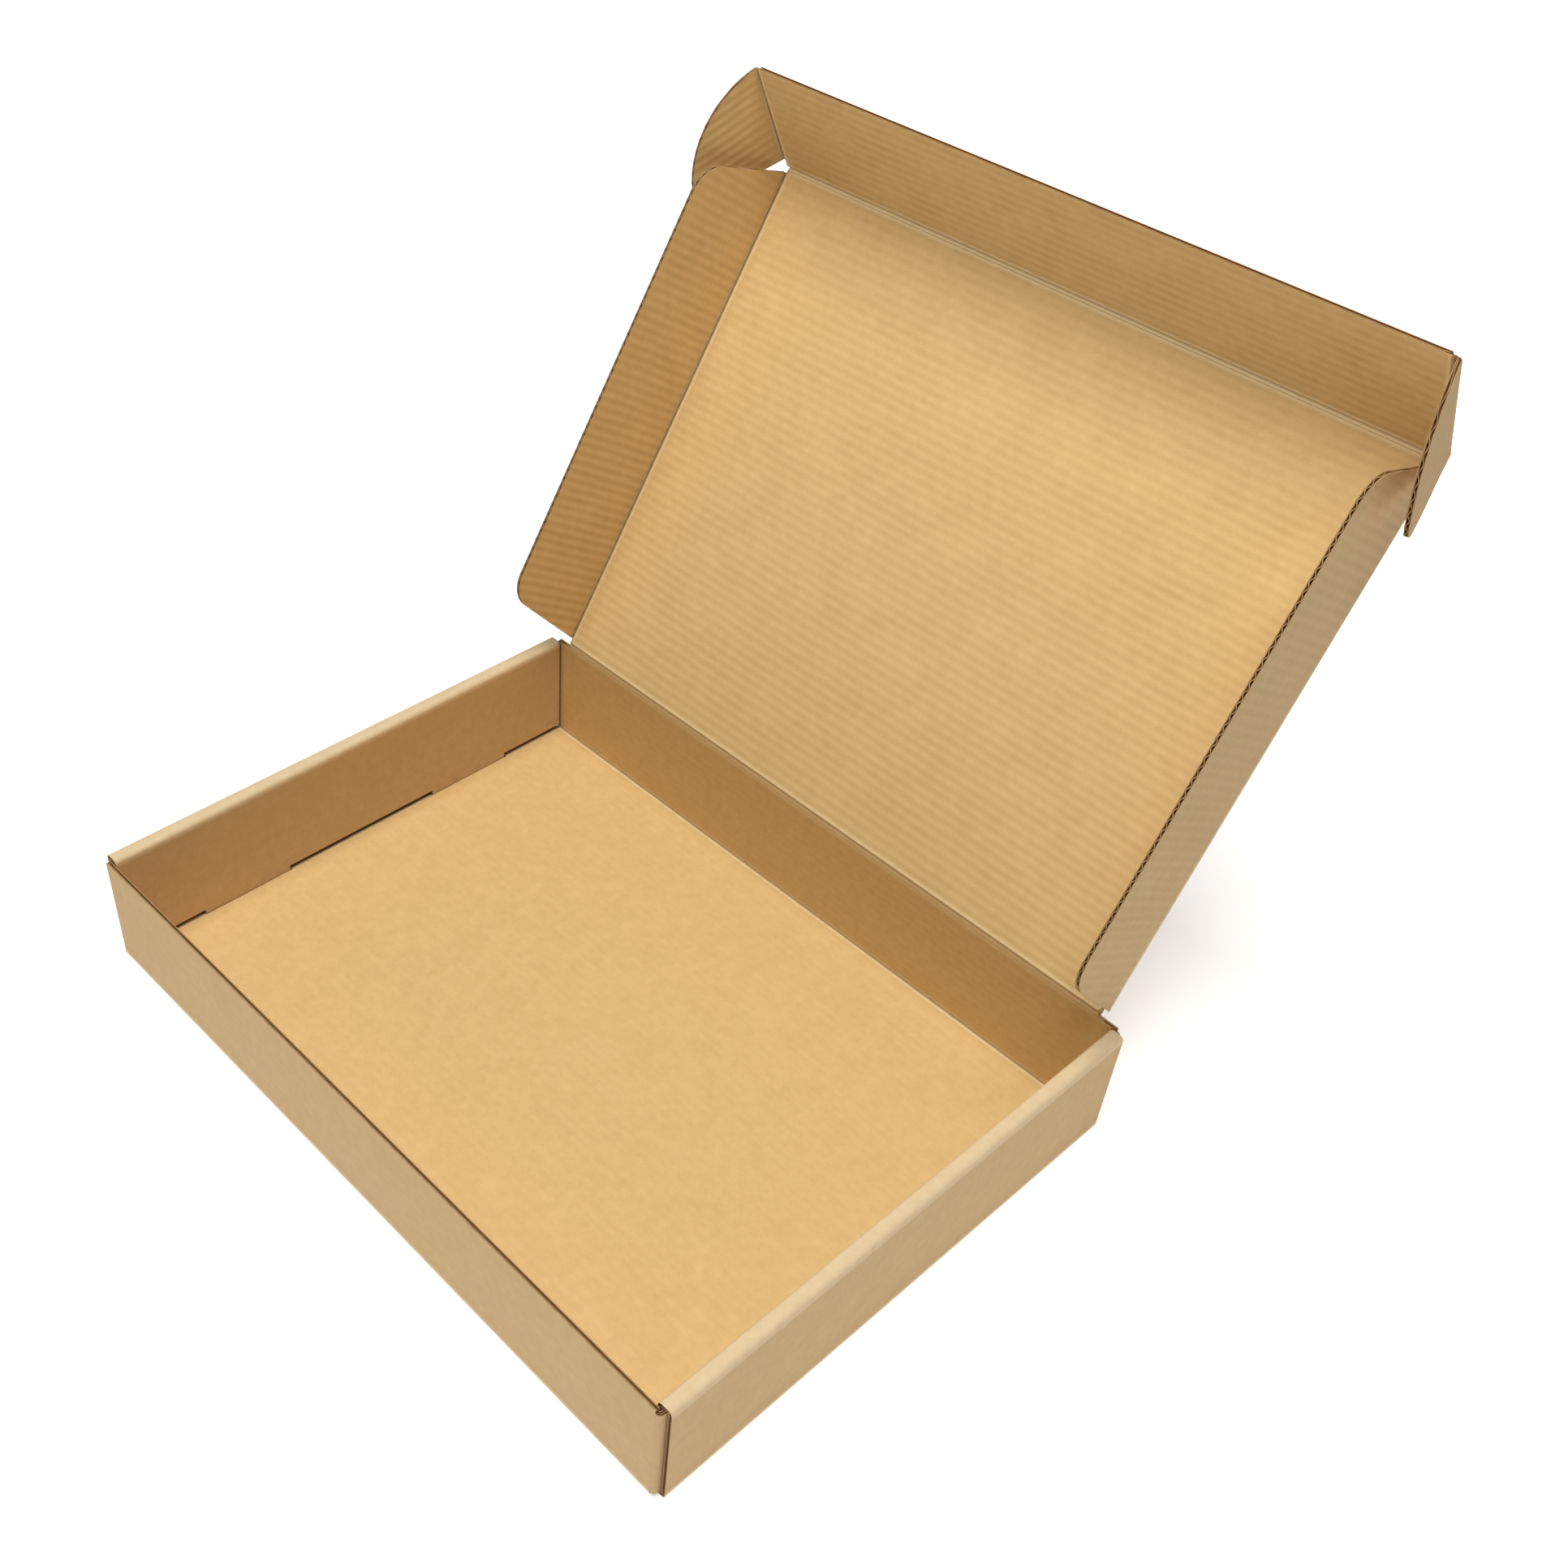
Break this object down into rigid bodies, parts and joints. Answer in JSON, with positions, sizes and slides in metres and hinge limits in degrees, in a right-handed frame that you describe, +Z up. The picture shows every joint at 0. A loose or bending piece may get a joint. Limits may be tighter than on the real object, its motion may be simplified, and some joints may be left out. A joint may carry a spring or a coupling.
{
  "type": "corrugated folding box",
  "caption": "Shallow kraft corrugated mailing box folded from one sheet, with rolled side walls locked by floor tabs, and an open hinged lid with side flaps, a tuck flap and ears.",
  "frame": {"origin": "middle of the tray's underside", "axes": "+X along the lid hinge to the right as seen from the front, +Y from the front wall to the back wall that carries the lid, +Z up"},
  "size_m": [0.2852, 0.3048, 0.2495],
  "materials": {
    "tray_board": "matte kraft liner",
    "lid_board": "matte kraft liner",
    "flap_board": "matte kraft liner",
    "tuck_board": "matte kraft liner",
    "ear_board": "matte kraft liner"
  },
  "bodies": {
    "tray": {"tray": "tray_board"},
    "lid": {"lid_panel": "lid_board"},
    "tuck": {"tuck_flap": "tuck_board"},
    "ear_left": {"ear_left": "ear_board"},
    "ear_right": {"ear_right": "ear_board"},
    "flap_left": {"side_flap_left": "flap_board"},
    "flap_right": {"side_flap_right": "flap_board"}
  },
  "joints": [
    {"name": "lid_hinge", "type": "hinge", "parent": "tray", "child": "lid", "pos_m": [0, 0.10025, 0.0468], "axis": [-1, 0, 0], "range_deg": [-122, 58]},
    {"name": "tuck_fold", "type": "hinge", "parent": "lid", "child": "tuck", "pos_m": [0, 0.20305, 0.21132], "axis": [-1, 0, 0], "range_deg": [-36.05, 17.16]},
    {"name": "ear_fold_left", "type": "hinge", "parent": "tuck", "child": "ear_left", "pos_m": [-0.13255, 0.20305, 0.21132], "axis": [0, 0.4617, -0.887], "range_deg": [-15.05, 7.18]},
    {"name": "ear_fold_right", "type": "hinge", "parent": "tuck", "child": "ear_right", "pos_m": [0.13255, 0.20305, 0.21132], "axis": [0, -0.4617, 0.887], "range_deg": [-15.05, 7.18]},
    {"name": "flap_fold_left", "type": "hinge", "parent": "lid", "child": "flap_left", "pos_m": [-0.1299, 0.09944, 0.0473], "axis": [0, 0.5299, 0.848], "range_deg": [0, 85]},
    {"name": "flap_fold_right", "type": "hinge", "parent": "lid", "child": "flap_right", "pos_m": [0.1299, 0.09944, 0.0473], "axis": [0, -0.5299, -0.848], "range_deg": [0, 85]}
  ],
  "couplings": [
    {"joint": "tuck_fold", "follows": "lid_hinge", "ratio": 0.29508},
    {"joint": "ear_fold_left", "follows": "lid_hinge", "ratio": 0.12295},
    {"joint": "ear_fold_right", "follows": "lid_hinge", "ratio": 0.12295}
  ]
}
